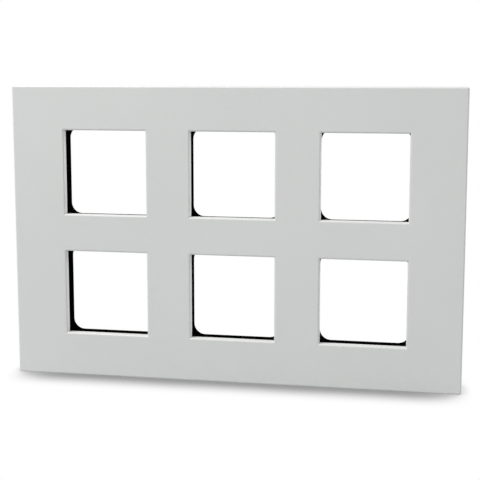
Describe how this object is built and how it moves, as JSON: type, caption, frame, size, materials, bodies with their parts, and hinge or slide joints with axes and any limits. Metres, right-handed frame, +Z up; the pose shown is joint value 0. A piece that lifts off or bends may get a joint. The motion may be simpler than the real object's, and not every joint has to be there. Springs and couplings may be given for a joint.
{
  "type": "grid switch plate",
  "caption": "Flat rectangular grid switch plate: a light grey cover with square module openings, pushed onto a black frame with a collar round each opening and slots for wall screws.",
  "frame": {"origin": "middle of the plate's outline, on the wall", "axes": "+Z up and +X to the right as seen from the room, +Y into the wall"},
  "size_m": [0.116, 0.009, 0.076],
  "materials": {
    "cover": "satin moulded",
    "frame": "satin moulded"
  },
  "bodies": {
    "frame": {"grid_frame": "frame"},
    "cover": {"cover_plate": "cover"}
  },
  "joints": [
    {"name": "cover_pull", "type": "slide", "parent": "frame", "child": "cover", "axis": [0, -1, 0], "range_m": [0, 0.025]}
  ]
}
